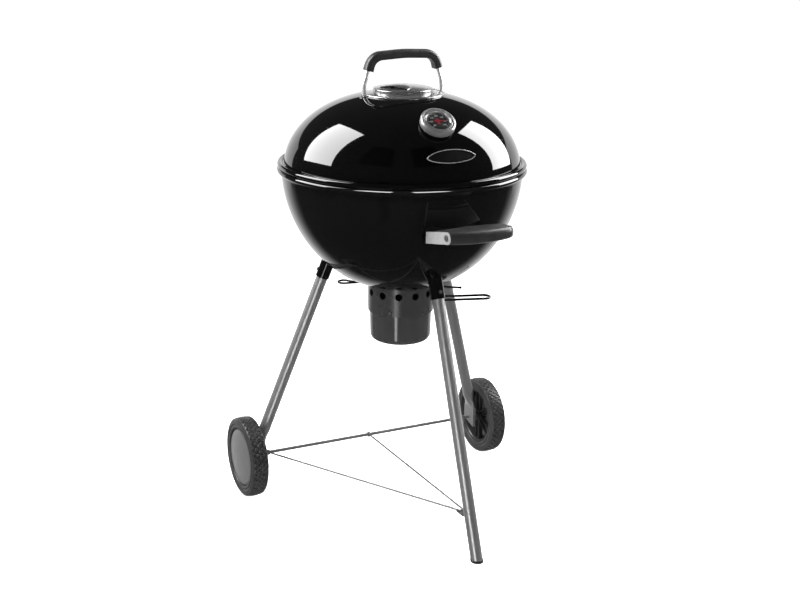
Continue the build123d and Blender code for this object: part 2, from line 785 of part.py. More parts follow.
# Ash catcher: collar with air holes, turning air sleeve, ash pot on two pins
slot_height = 7.5
slot_half_angle = 29.0
collar_gap = 3.5
with BuildPart() as collar:
    with BuildSketch(kettle.offset(collar_bottom)):
        Circle(collar_radius)
        Circle(collar_radius - sheet, mode=Mode.SUBTRACT)
    extrude(amount=collar_top - collar_bottom)
    add(bowl_outside, mode=Mode.SUBTRACT)
    for hole in range(air_hole_count):
        azimuth = 360 * hole / air_hole_count
        rod(
            around(azimuth, collar_radius - 8, air_hole_height),
            around(azimuth, collar_radius + 8, air_hole_height),
            air_hole_radius,
            Mode.SUBTRACT,
        )
    rod(
        around(flap_azimuth, collar_radius + 8, flap_height),
        around(flap_azimuth + 180, collar_radius + 8, flap_height),
        flap_rod_radius + flap_rod_gap,
        Mode.SUBTRACT,
    )
    with BuildSketch(kettle.offset(air_lever_height - slot_height / 2)):
        with BuildLine():
            edge_a = around(air_lever_azimuth - slot_half_angle, 100, 0) - Vector(0, kettle_y, 0)
            edge_b = around(air_lever_azimuth + slot_half_angle, 100, 0) - Vector(0, kettle_y, 0)
            Polyline((0, 0), (edge_a.X, edge_a.Y), (edge_b.X, edge_b.Y), (0, 0))
        make_face()
    extrude(amount=slot_height, mode=Mode.SUBTRACT)
    for azimuth in (-45, 135):
        with BuildSketch(radial_plane(azimuth, collar_radius - 8, collar_bottom)):
            with Locations((0, (pin_height - collar_bottom) / 2)):
                Rectangle(2 * collar_gap, pin_height - collar_bottom + 2 * collar_gap)
        extrude(amount=16, mode=Mode.SUBTRACT)
save(collar, "ash_collar")

sleeve_radius = collar_radius - sheet - sleeve_gap
lever_spread = 15.5
with BuildPart() as sleeve:
    with BuildSketch(kettle.offset(sleeve_bottom)):
        Circle(sleeve_radius)
        Circle(sleeve_radius - sleeve_wall, mode=Mode.SUBTRACT)
    extrude(amount=sleeve_top - sleeve_bottom)
    for hole in range(air_hole_count):
        azimuth = 360 * hole / air_hole_count
        rod(
            around(azimuth, sleeve_radius - 8, air_hole_height),
            around(azimuth, sleeve_radius + 8, air_hole_height),
            air_hole_radius,
            Mode.SUBTRACT,
        )
save(sleeve, "air_sleeve")

lever_root = radial_plane(air_lever_azimuth, 0, air_lever_height)
lever_plane = Plane(origin=lever_root.origin, x_dir=lever_root.z_dir, z_dir=(0, 0, 1))
lever_start = 75.5
with BuildPart() as lever:
    with BuildLine(lever_plane) as lever_line:
        Polyline((lever_start, lever_spread), (air_lever_reach - lever_spread, lever_spread))
        ThreePointArc(
            (air_lever_reach - lever_spread, lever_spread),
            (air_lever_reach, 0),
            (air_lever_reach - lever_spread, -lever_spread),
        )
        Line((air_lever_reach - lever_spread, -lever_spread), (lever_start, -lever_spread))
    with BuildSketch(Plane(lever_line.line @ 0, z_dir=lever_line.line % 0)):
        Circle(air_lever_radius)
    sweep()
    add(sleeve.part, mode=Mode.SUBTRACT)
save(lever, "air_sleeve_lever")

with BuildPart() as pot:
    with BuildSketch(section) as pot_half:
        with BuildLine():
            FilletPolyline(
                (pot_top_radius, pot_top),
                (pot_bottom_radius, pot_bottom),
                (0, pot_bottom),
                radius=pot_corner,
            )
            Polyline((0, pot_bottom), (0, pot_bottom + pot_wall))
            FilletPolyline(
                (0, pot_bottom + pot_wall),
                (pot_bottom_radius - pot_wall, pot_bottom + pot_wall),
                (pot_top_radius - pot_wall, pot_top),
                radius=pot_corner - pot_wall,
            )
            Line((pot_top_radius - pot_wall, pot_top), (pot_top_radius, pot_top))
        make_face()
    revolve(axis=kettle_axis)
save(pot, "ash_pot")

with BuildPart() as pot_pins:
    for azimuth in (-45, 135):
        pin_start = around(azimuth, pot_top_radius - pin_radius, pin_height)
        rod(pin_start, around(azimuth, collar_radius + pin_stand, pin_height), pin_radius)
    add(pot.part, mode=Mode.SUBTRACT)
    with BuildSketch(kettle.offset(pot_bottom)):
        Circle(pot_top_radius - pot_wall)
    extrude(amount=pot_top - pot_bottom + 10, mode=Mode.SUBTRACT)
save(pot_pins, "ash_pot_pins")

# Outlet flap on its through rod, with a wire loop at one end and a flared head at the other
flap_level = flap_height + flap_rod_radius
with BuildPart() as flap:
    with BuildSketch(kettle.offset(flap_level)):
        Circle(flap_radius)
    extrude(amount=1.2)
save(flap, "outlet_flap")

loop_neck = 104.0
loop_centre = 139.0
loop_radius = 13.5
head_reach = 147.0
head_length = 3.0
head_radius = 4.5
flap_root = radial_plane(flap_azimuth + 180, 0, flap_height)
flap_plane = Plane(origin=flap_root.origin, x_dir=flap_root.z_dir, z_dir=(0, 0, 1))
loop_turn = asin(loop_radius / (loop_centre - loop_neck))
loop_bend = (loop_centre - loop_radius * sin(loop_turn), loop_radius * cos(loop_turn))
with BuildPart() as flap_rod:
    head_start = around(flap_azimuth, head_reach - head_length, flap_height)
    neck = around(flap_azimuth + 180, loop_neck, flap_height)
    rod(head_start, neck, flap_rod_radius)
    with Locations(Plane(origin=head_start, z_dir=-flap_root.z_dir)):
        Cone(flap_rod_radius, head_radius, head_length, align=ON_BASE)
    for hand in (-1, 1):
        rod(neck, flap_plane.from_local_coords((loop_bend[0], hand * loop_bend[1], 0)), flap_rod_radius)
    with BuildLine(flap_plane) as loop_line:
        ThreePointArc(loop_bend, (loop_centre + loop_radius, 0), (loop_bend[0], -loop_bend[1]))
    with BuildSketch(Plane(loop_line.line @ 0, z_dir=loop_line.line % 0)):
        Circle(flap_rod_radius)
    sweep()
save(flap_rod, "flap_rod")


# Round grates of parallel wires in a ring, and the tabs that carry them
bar_drop = 1.1
grate_gap = 0.6
tab_thickness = 3.0


def round_grate(height, radius, wire, bar, pitch):
    """A ring with parallel bars and two cross bars below them."""
    ring_radius = radius - wire
    with BuildPart() as grate:
        with BuildSketch(section) as ring:
            with Locations((ring_radius, height)):
                Circle(wire)
        revolve(ring.sketch, axis=kettle_axis)
        count = int(2 * ring_radius / pitch)
        for index in range(count):
            x = (index - (count - 1) / 2) * pitch
            reach = (ring_radius**2 - x**2) ** 0.5
            rod((x, kettle_y - reach, height - bar_drop), (x, kettle_y + reach, height - bar_drop), bar)
        level = height - bar_drop - bar
        for y in (-radius / 2, radius / 2):
            reach = (ring_radius**2 - y**2) ** 0.5
            rod((-reach, kettle_y + y, level), (reach, kettle_y + y, level), bar)
    return grate


def grate_tabs(top, reach):
    """Four shelves on the bowl's wall, just under a grate's ring."""
    with BuildPart() as tabs:
        for azimuth in (45, 135, 225, 315):
            with BuildSketch(radial_plane(azimuth, reach, top - tab_thickness / 2)):
                Rectangle(24, tab_thickness)
            extrude(amount=60)
        add(bowl_inside, mode=Mode.INTERSECT)
    return tabs


cooking_wire = 3.0
cooking_tab_top = cooking_grate_height - cooking_wire - grate_gap
charcoal_wire = 3.5
charcoal_tab_top = charcoal_grate_height - charcoal_wire - grate_gap
save(round_grate(cooking_grate_height, cooking_grate_radius, cooking_wire, 2.0, 18.0), "cooking_grate")
save(round_grate(charcoal_grate_height, charcoal_grate_radius, charcoal_wire, 2.75, 26.0), "charcoal_grate")
save(grate_tabs(cooking_tab_top, cooking_grate_radius - 12), "cooking_grate_tabs")
save(grate_tabs(charcoal_tab_top, charcoal_grate_radius - 14), "charcoal_grate_tabs")
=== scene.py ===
"""Looks of the kettle charcoal grill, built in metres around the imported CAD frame."""

import json
import math

import bpy
import bmesh
from mathutils import Matrix, Vector

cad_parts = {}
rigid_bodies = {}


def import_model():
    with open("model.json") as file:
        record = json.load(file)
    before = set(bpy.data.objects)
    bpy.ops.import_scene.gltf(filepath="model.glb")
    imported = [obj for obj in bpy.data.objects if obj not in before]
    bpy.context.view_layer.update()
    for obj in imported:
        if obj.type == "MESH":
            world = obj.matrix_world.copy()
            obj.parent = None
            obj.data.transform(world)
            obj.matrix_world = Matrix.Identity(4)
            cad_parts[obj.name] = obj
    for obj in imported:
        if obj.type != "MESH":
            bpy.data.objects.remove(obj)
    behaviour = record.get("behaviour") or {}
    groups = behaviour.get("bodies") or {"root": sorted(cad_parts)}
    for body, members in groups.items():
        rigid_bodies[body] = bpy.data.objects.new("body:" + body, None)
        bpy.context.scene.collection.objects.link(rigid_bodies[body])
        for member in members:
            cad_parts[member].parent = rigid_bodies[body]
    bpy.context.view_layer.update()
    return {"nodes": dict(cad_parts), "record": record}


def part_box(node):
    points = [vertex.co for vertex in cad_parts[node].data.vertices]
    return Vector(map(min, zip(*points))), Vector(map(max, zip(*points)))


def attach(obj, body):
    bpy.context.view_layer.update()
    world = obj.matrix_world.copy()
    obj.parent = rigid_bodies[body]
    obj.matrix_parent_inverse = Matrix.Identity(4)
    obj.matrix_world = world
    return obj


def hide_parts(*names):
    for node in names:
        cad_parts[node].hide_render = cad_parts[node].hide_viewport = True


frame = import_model()
nodes = frame["nodes"]
scene = bpy.context.scene

MM = 0.001


# ---------------------------------------------------------------- places taken from the frame
def centre(node):
    low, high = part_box(node)
    return (low + high) / 2


bowl_low, bowl_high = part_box("bowl")
kettle = Vector((0, centre("bowl").y, 0))
rim_height = bowl_high.z
rim_radius = (bowl_high.x - bowl_low.x) / 2
lid_low, lid_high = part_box("lid")


# ---------------------------------------------------------------- mesh helpers
def mesh_object(name, points, faces, sharp=35):
    """A smooth-shaded mesh with creases where faces meet at more than `sharp` degrees."""
    mesh = bpy.data.meshes.new(name)
    mesh.from_pydata([tuple(p) for p in points], [], faces)
    mesh.validate()
    work = bmesh.new()
    work.from_mesh(mesh)
    bmesh.ops.remove_doubles(work, verts=work.verts, dist=1e-7)
    bmesh.ops.recalc_face_normals(work, faces=work.faces)
    work.to_mesh(mesh)
    work.free()
    mesh.shade_smooth()
    mesh.set_sharp_from_angle(angle=math.radians(sharp))
    piece = bpy.data.objects.new(name, mesh)
    scene.collection.objects.link(piece)
    return piece


def frame_of(axis):
    """Two directions square to an axis and to each other."""
    axis = Vector(axis).normalized()
    side = Vector((0, 0, 1)) if abs(axis.z) < 0.9 else Vector((1, 0, 0))
    u = side.cross(axis).normalized()
    return u, axis.cross(u).normalized(), axis


def ring_faces(rings, size, looped=False, wrapped=True, capped=False):
    """Faces between neighbouring rings of points.

    A looped row of rings ends where it starts, a wrapped ring closes on itself, and caps fill both ends.
    """
    faces = []
    for ring in range(rings if looped else rings - 1):
        here, there = ring * size, (ring + 1) % rings * size
        for index in range(size if wrapped else size - 1):
            after = (index + 1) % size
            faces.append((here + index, here + after, there + after, there + index))
    if capped:
        faces += [tuple(range(size)), tuple(range((rings - 1) * size, rings * size))]
    return faces


def lathe(name, profile, origin, axis=(0, 0, 1), segments=128, closed=True, sharp=35):
    """A profile of (radius, distance along the axis) turned round an axis."""
    u, v, w = frame_of(axis)
    origin = Vector(origin)
    points = []
    for step in range(segments):
        angle = 2 * math.pi * step / segments
        outwards = u * math.cos(angle) + v * math.sin(angle)
        points += [origin + outwards * radius + w * along for radius, along in profile]
    faces = ring_faces(segments, len(profile), looped=True, wrapped=closed)
    return mesh_object(name, points, faces, sharp)


def sweep_loop(name, path, section, up, sharp=35):
    """A closed section of (across, up) points carried round a path that ends where it starts."""
    points = []
    count = len(path)
    for index, place in enumerate(path):
        along = (path[(index + 1) % count] - path[index - 1]).normalized()
        across = along.cross(up).normalized()
        rise = across.cross(along).normalized()
        points += [place + across * a + rise * b for a, b in section]
    return mesh_object(name, points, ring_faces(count, len(section), looped=True), sharp)


def in_mm(points):
    """Points in metres from points in millimetres."""
    return [(a * MM, b * MM) for a, b in points]


def directions(azimuth):
    """The outward and the sideways direction at an azimuth in degrees, where 0 is the front."""
    turn = math.radians(azimuth)
    return Vector((math.sin(turn), -math.cos(turn), 0)), Vector((math.cos(turn), math.sin(turn), 0))


def circle(radius, steps=24):
    """Points round a circle."""
    turns = [2 * math.pi * step / steps for step in range(steps)]
    return [(radius * math.cos(turn), radius * math.sin(turn)) for turn in turns]


def rounded(corners, radii, steps=6, closed=True):
    """A polygon with its corners rounded; a radius of 0 keeps the corner."""
    result = []
    count = len(corners)
    for index, corner in enumerate(corners):
        radius = radii[index] if isinstance(radii, (list, tuple)) else radii
        if radius == 0 or (not closed and index in (0, count - 1)):
            result.append(tuple(corner))
            continue
        here = Vector(corner)
        back = (Vector(corners[index - 1]) - here).normalized()
        ahead = (Vector(corners[(index + 1) % count]) - here).normalized()
        half = back.angle(ahead) / 2
        reach = radius / math.tan(half)
        middle = here + (back + ahead).normalized() * (radius / math.sin(half))
        start = here + back * reach - middle
        end = here + ahead * reach - middle
        turn = start.angle(end)
        for step in range(steps + 1):
            share = step / steps
            blend = start * math.sin((1 - share) * turn) + end * math.sin(share * turn)
            result.append(tuple(middle + blend / math.sin(turn)))
    return result


def superellipse(radius, rise, powers, steps=64):
    """Points of a dome's half outline, from its pole to its equator, as (radius, height)."""
    points = []
    for step in range(steps + 1):
        angle = math.pi / 2 * step / steps
        across = max(math.sin(angle), 0) ** (2 / powers[0])
        up = max(math.cos(angle), 0) ** (2 / powers[1])
        points.append((radius * across, rise * up))
    points[0] = (0, rise)
    points[-1] = (radius, 0)
    return points


def arc(middle, radius, start, end, steps=24):
    """Points on a circle between two angles in degrees."""
    result = []
    for step in range(steps + 1):
        angle = math.radians(start + (end - start) * step / steps)
        result.append((middle[0] + radius * math.cos(angle), middle[1] + radius * math.sin(angle)))
    return result


def join(name, parts, sharp=35):
    """One piece made of several meshes, which are used up."""
    points = []
    faces = []
    for part in parts:
        start = len(points)
        points += [part.matrix_world @ vertex.co for vertex in part.data.vertices]
        faces += [tuple(start + index for index in face.vertices) for face in part.data.polygons]
        bpy.data.objects.remove(part)
    return mesh_object(name, points, faces, sharp)


def prism(name, outline, origin, axes, start, end, sharp=35):
    """An outline in the first two axes, carried along the third one from start to end."""
    first, second, third = axes
    points = []
    for along in (start, end):
        points += [Vector(origin) + first * a + second * b + third * along for a, b in outline]
    count = len(outline)
    faces = [tuple(range(count)), tuple(range(count, 2 * count))]
    for index in range(count):
        after = (index + 1) % count
        faces.append((index, after, count + after, count + index))
    return mesh_object(name, points, faces, sharp)


def apply_modifiers(piece):
    """Replace a piece's mesh with what its modifiers make of it."""
    graph = bpy.context.evaluated_depsgraph_get()
    mesh = bpy.data.meshes.new_from_object(piece.evaluated_get(graph))
    piece.modifiers.clear()
    piece.data = mesh


def cut(piece, cutters, sharp=35):
    """Take the cutters' volumes out of a piece; the cutters are used up."""
    for cutter in cutters:
        boolean = piece.modifiers.new("cut", "BOOLEAN")
        boolean.operation = "DIFFERENCE"
        boolean.solver = "EXACT"
        boolean.object = cutter
    apply_modifiers(piece)
    for cutter in cutters:
        bpy.data.objects.remove(cutter)
    piece.data.set_sharp_from_angle(angle=math.radians(sharp))


def bevel(piece, width):
    """Rounded edges of a width in metres, wherever faces meet at more than 35 degrees."""
    rounding = piece.modifiers.new("bevel", "BEVEL")
    rounding.width = width
    rounding.segments = 2
    rounding.limit_method = "ANGLE"
    rounding.angle_limit = math.radians(35)


# ---------------------------------------------------------------- materials
def new_material(name, color, rough, metallic=0.0):
    """A Principled material; returns it with its node tree and shader."""
    material = bpy.data.materials.new(name)
    material.use_nodes = True
    shader = material.node_tree.nodes["Principled BSDF"]
    shader.inputs["Base Color"].default_value = (*color, 1)
    shader.inputs["Roughness"].default_value = rough
    shader.inputs["Metallic"].default_value = metallic
    shader.inputs["IOR"].default_value = 1.5
    return material, material.node_tree, shader


def noise(tree, scale, detail, stretch=(1, 1, 1)):
    """A noise pattern in the piece's own coordinates."""
    place = tree.nodes.new("ShaderNodeTexCoord")
    mapping = tree.nodes.new("ShaderNodeMapping")
    mapping.inputs["Scale"].default_value = stretch
    pattern = tree.nodes.new("ShaderNodeTexNoise")
    pattern.inputs["Scale"].default_value = scale
    pattern.inputs["Detail"].default_value = detail
    tree.links.new(place.outputs["Object"], mapping.inputs["Vector"])
    tree.links.new(mapping.outputs["Vector"], pattern.inputs["Vector"])
    return pattern.outputs["Fac"]


def vary(tree, shader, socket, pattern, low, high):
    """A number on the shader that follows a pattern."""
    remap = tree.nodes.new("ShaderNodeMapRange")
    remap.inputs["From Min"].default_value = 0.3
    remap.inputs["From Max"].default_value = 0.7
    remap.inputs["To Min"].default_value = low
    remap.inputs["To Max"].default_value = high
    tree.links.new(pattern, remap.inputs["Value"])
    tree.links.new(remap.outputs["Result"], shader.inputs[socket])


def tint(tree, shader, pattern, dark, light):
    """A base colour that follows a pattern."""
    ramp = tree.nodes.new("ShaderNodeValToRGB")
    ramp.color_ramp.elements[0].position = 0.3
    ramp.color_ramp.elements[1].position = 0.7
    ramp.color_ramp.elements[0].color = (*dark, 1)
    ramp.color_ramp.elements[1].color = (*light, 1)
    tree.links.new(pattern, ramp.inputs["Fac"])
    tree.links.new(ramp.outputs["Color"], shader.inputs["Base Color"])


def bump(tree, shader, pattern, height, strength):
    """Relief of a height in metres that follows a pattern."""
    node = tree.nodes.new("ShaderNodeBump")
    node.inputs["Strength"].default_value = strength
    node.inputs["Distance"].default_value = height
    tree.links.new(pattern, node.inputs["Height"])
    tree.links.new(node.outputs["Normal"], shader.inputs["Normal"])


def grey(value):
    """A neutral colour."""
    return (value, value, value)


fine_relief = 0.01 * MM


def enamel(name, dark, light, rough_low, rough_high):
    """Fired enamel: smooth, with a faint unevenness."""
    material, tree, shader = new_material(name, light, rough_low)
    tint(tree, shader, noise(tree, 9, 6), dark, light)
    vary(tree, shader, "Roughness", noise(tree, 30, 5), rough_low, rough_high)
    bump(tree, shader, noise(tree, 220, 2), fine_relief, 0.5)
    return material


def metal(name, dark, light, rough_low, rough_high, stretch=(1, 1, 1), scale=120, metallic=1.0):
    """Bare, plated or brushed metal; a stretched pattern gives the brushing its direction."""
    material, tree, shader = new_material(name, light, rough_low, metallic)
    tint(tree, shader, noise(tree, scale * 0.3, 4, stretch), dark, light)
    vary(tree, shader, "Roughness", noise(tree, scale, 6, stretch), rough_low, rough_high)
    bump(tree, shader, noise(tree, scale * 3, 3, stretch), fine_relief, 0.4)
    return material


def plastic(name, dark, light, rough_low, rough_high, grain=900, relief=0.04 * MM):
    """Moulded plastic, rubber or paint with a fine grain of a relief in metres."""
    material, tree, shader = new_material(name, light, rough_low)
    tint(tree, shader, noise(tree, 40, 6), dark, light)
    vary(tree, shader, "Roughness", noise(tree, 60, 5), rough_low, rough_high)
    bump(tree, shader, noise(tree, grain, 2), relief, 0.6)
    return material


def glass(name):
    """Thin clear glass."""
    material, tree, shader = new_material(name, (0.98, 0.99, 0.99), 0.02)
    shader.inputs["Transmission Weight"].default_value = 1.0
    shader.inputs["IOR"].default_value = 1.1
    vary(tree, shader, "Roughness", noise(tree, 25, 3), 0.0, 0.03)
    return material


looks = {
    "black_enamel": enamel("black_enamel", grey(0.0016), grey(0.0024), 0.03, 0.05),
    "badge_edge": metal("badge_edge", grey(0.4), grey(0.5), 0.22, 0.3, metallic=0.5),
    "badge_enamel": enamel("badge_enamel", grey(0.006), grey(0.01), 0.16, 0.22),
    "grey_enamel": enamel("grey_enamel", grey(0.022), grey(0.03), 0.24, 0.32),
    "grey_enamel_gloss": enamel("grey_enamel_gloss", grey(0.028), grey(0.036), 0.1, 0.14),
    "satin_steel": metal("satin_steel", grey(0.6), grey(0.7), 0.3, 0.38, (1, 1, 0.15), metallic=0.5),
    "polished_steel": metal("polished_steel", grey(0.3), grey(0.36), 0.3, 0.36, metallic=0.7),
    "chrome": metal("chrome", grey(0.36), grey(0.42), 0.2, 0.26, metallic=0.85),
    "zinc_steel": metal("zinc_steel", grey(0.13), grey(0.17), 0.34, 0.46, scale=300, metallic=0.6),
    "satin_aluminium": metal("satin_aluminium", grey(0.42), grey(0.48), 0.36, 0.4, (1, 1, 0.1), 40, 0.85),
    "silver_paint": plastic("silver_paint", grey(0.27), grey(0.33), 0.32, 0.42, 1500, 0.06 * MM),
    "shield_paint": plastic("shield_paint", grey(0.09), grey(0.11), 0.28, 0.36, 1500, 0.04 * MM),
    "black_grip": plastic("black_grip", grey(0.018), grey(0.026), 0.34, 0.44, 1400),
    "black_plastic": plastic("black_plastic", grey(0.012), grey(0.018), 0.4, 0.5),
    "tyre": plastic("tyre", grey(0.02), grey(0.034), 0.36, 0.46, 1200, 0.06 * MM),
    "wheel_plastic": plastic("wheel_plastic", grey(0.02), grey(0.03), 0.34, 0.44),
    "hub_cap_plastic": plastic("hub_cap_plastic", grey(0.085), grey(0.1), 0.3, 0.38, 1500, 0.02 * MM),
    "black_wire": enamel("black_wire", grey(0.006), grey(0.01), 0.2, 0.28),
    "dial": plastic("dial", grey(0.008), grey(0.012), 0.3, 0.4),
    "dial_print": plastic("dial_print", grey(0.6), grey(0.7), 0.4, 0.5),
    "clear_glass": glass("clear_glass"),
    "needle_paint": plastic("needle_paint", (0.32, 0.012, 0.03), (0.42, 0.02, 0.045), 0.3, 0.38),
    "grate_wire": metal("grate_wire", grey(0.45), grey(0.6), 0.2, 0.3, metallic=0.9),
}
slot_of = {row["node"]: row["material_slot"] for row in frame["record"]["subparts"]}


def dress(piece, look):
    """Give a piece one of the looks and nothing else."""
    piece.data.materials.clear()
    piece.data.materials.append(looks[look])


for name, node in nodes.items():
    dress(node, slot_of[name])
dress(nodes["handle_heat_shield"], "shield_paint")


def finish_piece(piece, body, slot, *replaced, look=None):
    """Give a piece its material, its body and the CAD nodes that it stands for."""
    dress(piece, look or slot)
    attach(piece, body)
    if replaced:
        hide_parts(*replaced)


def at(x, y, z):
    """A point in metres from millimetres beside the kettle's axis."""
    return kettle + Vector((x, y, z)) * MM


# ---------------------------------------------------------------- camera at the photograph's angle
view_azimuth = math.radians(26.86)
view_elevation = math.radians(16.67)
view_roll = math.radians(0.62)
view_distance = 3.3725
aim = kettle + Vector((-0.0012, 0.0006, 0.5122))
forward = Vector(
    (
        math.sin(view_azimuth) * math.cos(view_elevation),
        math.cos(view_azimuth) * math.cos(view_elevation),
        -math.sin(view_elevation),
    )
)
level = forward.cross(Vector((0, 0, 1))).normalized()
right = level * math.cos(view_roll) + level.cross(forward) * math.sin(view_roll)
camera_up = right.cross(forward)
camera = bpy.data.objects.new("camera", bpy.data.cameras.new("camera"))
scene.collection.objects.link(camera)
camera.data.lens = 62.87
camera.data.sensor_width = 36.0
camera.data.clip_end = 200.0
camera.matrix_world = Matrix.Translation(aim - forward * view_distance) @ Matrix(
    (right, camera_up, -forward)
).transposed().to_4x4()
scene.camera = camera


# ---------------------------------------------------------------- lid and bowl shells
sheet = 1.5 * MM
lid_radius = 277.0 * MM
lid_rise = lid_high.z - rim_height
lid_powers = (2.27, 1.94)
bowl_radius = 283.3 * MM
bowl_depth = 296.3 * MM
bowl_powers = (2.07, 1.95)
outlet_radius = 68.0 * MM
bead_radius = 6.5 * MM
lid_bead_radius = 6.0 * MM
seat_gap = 0.3 * MM
skirt_depth = rim_height - lid_low.z
# Height above or below its middle at which a bead meets the sheet
bead_lap = 2.2 * MM


def lid_profile():
    """Closed outline of the lid's sheet: dome, rolled bead, locating skirt and inner dome."""
    bead = (rim_radius - bead_radius - 0.5 * MM, seat_gap + lid_bead_radius)
    dome = superellipse(lid_radius, lid_rise, lid_powers, 96)
    outer = [(r, z) for r, z in dome if z > bead[1] + bead_lap]
    curl = arc(bead, lid_bead_radius, 160, -150, 28)
    skirt = [
        (lid_radius + 0.5 * MM, bead[1] - bead_lap),
        (lid_radius, bead[1] - 4 * MM),
        (lid_radius, -skirt_depth),
        (lid_radius - sheet, -skirt_depth),
    ]
    inner = superellipse(lid_radius - sheet, lid_rise - sheet, lid_powers, 96)
    return outer + curl + skirt + inner[::-1]


def bowl_profile():
    """Closed outline of the bowl's sheet: rolled bead, outer wall, outlet edge and inner wall."""
    bead = (rim_radius - bead_radius, -bead_radius)
    outside = superellipse(bowl_radius, bowl_depth, bowl_powers, 110)
    inside = superellipse(bowl_radius - sheet, bowl_depth - sheet, bowl_powers, 110)
    wall_top = bead[1] - bead_radius - 0.6 * MM
    outer = [(r, -z) for r, z in outside if r > outlet_radius and -z < wall_top]
    inner = [(r, -z) for r, z in inside if r > outlet_radius and -z < -3 * MM]
    curl = arc(bead, bead_radius, -100, 150, 28)
    return outer + curl + [(bowl_radius - sheet, -2.5 * MM)] + inner[::-1]


rim_centre = kettle + Vector((0, 0, rim_height))
lid_shell = lathe("lid_shell", lid_profile(), rim_centre, segments=256, sharp=50)
bowl_shell = lathe("bowl_shell", bowl_profile(), rim_centre, segments=256, sharp=50)
vent_hole_radius = 11.0 * MM
vent_hole_reach = 38.0 * MM


def vent_drills():
    """Four round cutters where the air leaves the lid."""
    top = lid_high.z + 20 * MM
    bottom = lid_high.z - 50 * MM
    profile = [(0, top), (vent_hole_radius, top), (vent_hole_radius, bottom), (0, bottom)]
    drills = []
    for azimuth in (45, 135, 225, 315):
        place = kettle + directions(azimuth)[1] * vent_hole_reach
        drills.append(lathe("drill", profile, place, segments=32))
    return drills


cut(lid_shell, vent_drills(), 50)
finish_piece(lid_shell, "lid_body", "black_enamel", "lid")
finish_piece(bowl_shell, "stand", "black_enamel", "bowl")


# ---------------------------------------------------------------- places on the lid
def lid_surface(reach):
    """Height of the lid's outside, in metres, at a distance from the axis."""
    share = max(1 - (reach / lid_radius) ** lid_powers[0], 1e-9)
    return rim_height + lid_rise * share ** (1 / lid_powers[1])


def lid_place(azimuth, reach):
    """A point of the lid's outside with the level, uphill and outward directions there."""
    step = 0.1 * MM
    slope = (lid_surface(reach + step) - lid_surface(reach - step)) / (2 * step)
    radial, level = directions(azimuth)
    uphill = (-radial - Vector((0, 0, slope))).normalized()
    origin = Vector((kettle.x, kettle.y, lid_surface(reach))) + radial * reach
    return origin, level, uphill, level.cross(uphill)


def drape(point, normal):
    """The lid's surface straight below a point, seen along a normal."""
    for _ in range(12):
        reach = math.hypot(point.x - kettle.x, point.y - kettle.y)
        point = point - normal * ((point.z - lid_surface(reach)) * normal.z)
    return point


# ---------------------------------------------------------------- badge: a blank plate with a border
badge_place = lid_place(-2.0, 258.0 * MM)
badge_steps = 96


def badge_outline(half_length, half_width):
    """Points of the lid's surface on a lens round the badge's middle; its ends are slightly pointed."""
    origin, level, uphill, normal = badge_place
    points = []
    for index in range(badge_steps):
        turn = 2 * math.pi * index / badge_steps
        across = math.cos(turn) * half_length
        up = math.copysign(abs(math.sin(turn)) ** 1.2, math.sin(turn)) * half_width
        points.append(drape(origin + level * across + uphill * up, normal))
    return points


def badge():
    """The plate: each ring is a share of the full width, lifted by millimetres off the lid."""
    half_length = 59.5 * MM
    half_width = 16.5 * MM
    rings = [(1.0, -0.4), (1.0, 1.4), (0.985, 2.1), (0.96, 2.5), (0.93, 2.4), (0.9, 1.9)]
    rings += [(0.88, 1.2), (0.85, 1.0), (0.7, 1.05), (0.5, 1.1), (0.3, 1.1), (0.12, 1.1)]
    points = []
    for share, lift in rings:
        length = half_length - (1 - share) * half_width * 1.6
        if share < 0.8:
            length *= share / 0.85
        outline = badge_outline(length, share * half_width)
        points += [point + badge_place[3] * lift * MM for point in outline]
    return mesh_object("badge", points, ring_faces(len(rings), badge_steps, capped=True), 40)


def badge_border():
    """A thin raised line round the badge."""
    normal = badge_place[3]
    path = [point + normal * 2.3 * MM for point in badge_outline(57.6 * MM, 15.4 * MM)]
    return sweep_loop("badge_border", path, circle(0.95 * MM, 10), normal, sharp=80)


finish_piece(badge(), "lid_body", "badge_enamel", "lid_badge")
finish_piece(badge_border(), "lid_body", "badge_enamel", look="badge_edge")


# ---------------------------------------------------------------- vent: cap with one hood, base plate edge
cap_low, cap_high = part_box("vent_cap")
cap_edge = cap_low.z
cap_radius = 70.0 * MM
cap_rise = 10.0 * MM
cap_brim = 3.0 * MM
hood_azimuth = -56.0
hood_reach = 43.0 * MM
hood_half = 37.0 * MM
hood_back = 52.0 * MM
hood_rise = 6.0 * MM
hood_bulge = 5.0 * MM
tab_azimuth = 63.0
tab_root = 67.0 * MM
upwards = Vector((0, 0, 1))


def cap_surface(reach):
    """Height of the vent cap's dome at a distance from the axis."""
    return cap_edge + cap_brim + (cap_rise - cap_brim) * (1 - (reach / cap_radius) ** 2.2)


def vent_disc(mouth, chord, facing):
    """The cap's domed sheet with a rolled brim and the opening behind the hood's mouth."""
    reaches = [reach * MM for reach in (0, 6, 12, 18, 24, 30, 36, 42, 48, 54, 59, 63, 66)]
    outer = [(reach, cap_surface(reach)) for reach in reaches]
    outer += [(68.4 * MM, cap_edge + 3.4 * MM), (69.6 * MM, cap_edge + 2.4 * MM)]
    outer += [(cap_radius, cap_edge + 1.0 * MM), (cap_radius, cap_edge), (cap_radius - 1.4 * MM, cap_edge)]
    inner = [(max(radius - 1.2 * MM, 0), height - 1.3 * MM) for radius, height in outer[:-3]]
    disc = lathe("vent_disc", outer + inner[::-1], kettle, segments=160)
    slot = in_mm([(-30, -12), (-20, -16), (20, -16), (30, -12), (31, -3), (-31, -3)])
    cut(disc, [prism("slot", slot, mouth, (chord, facing, upwards), cap_edge, cap_high.z)])
    return disc


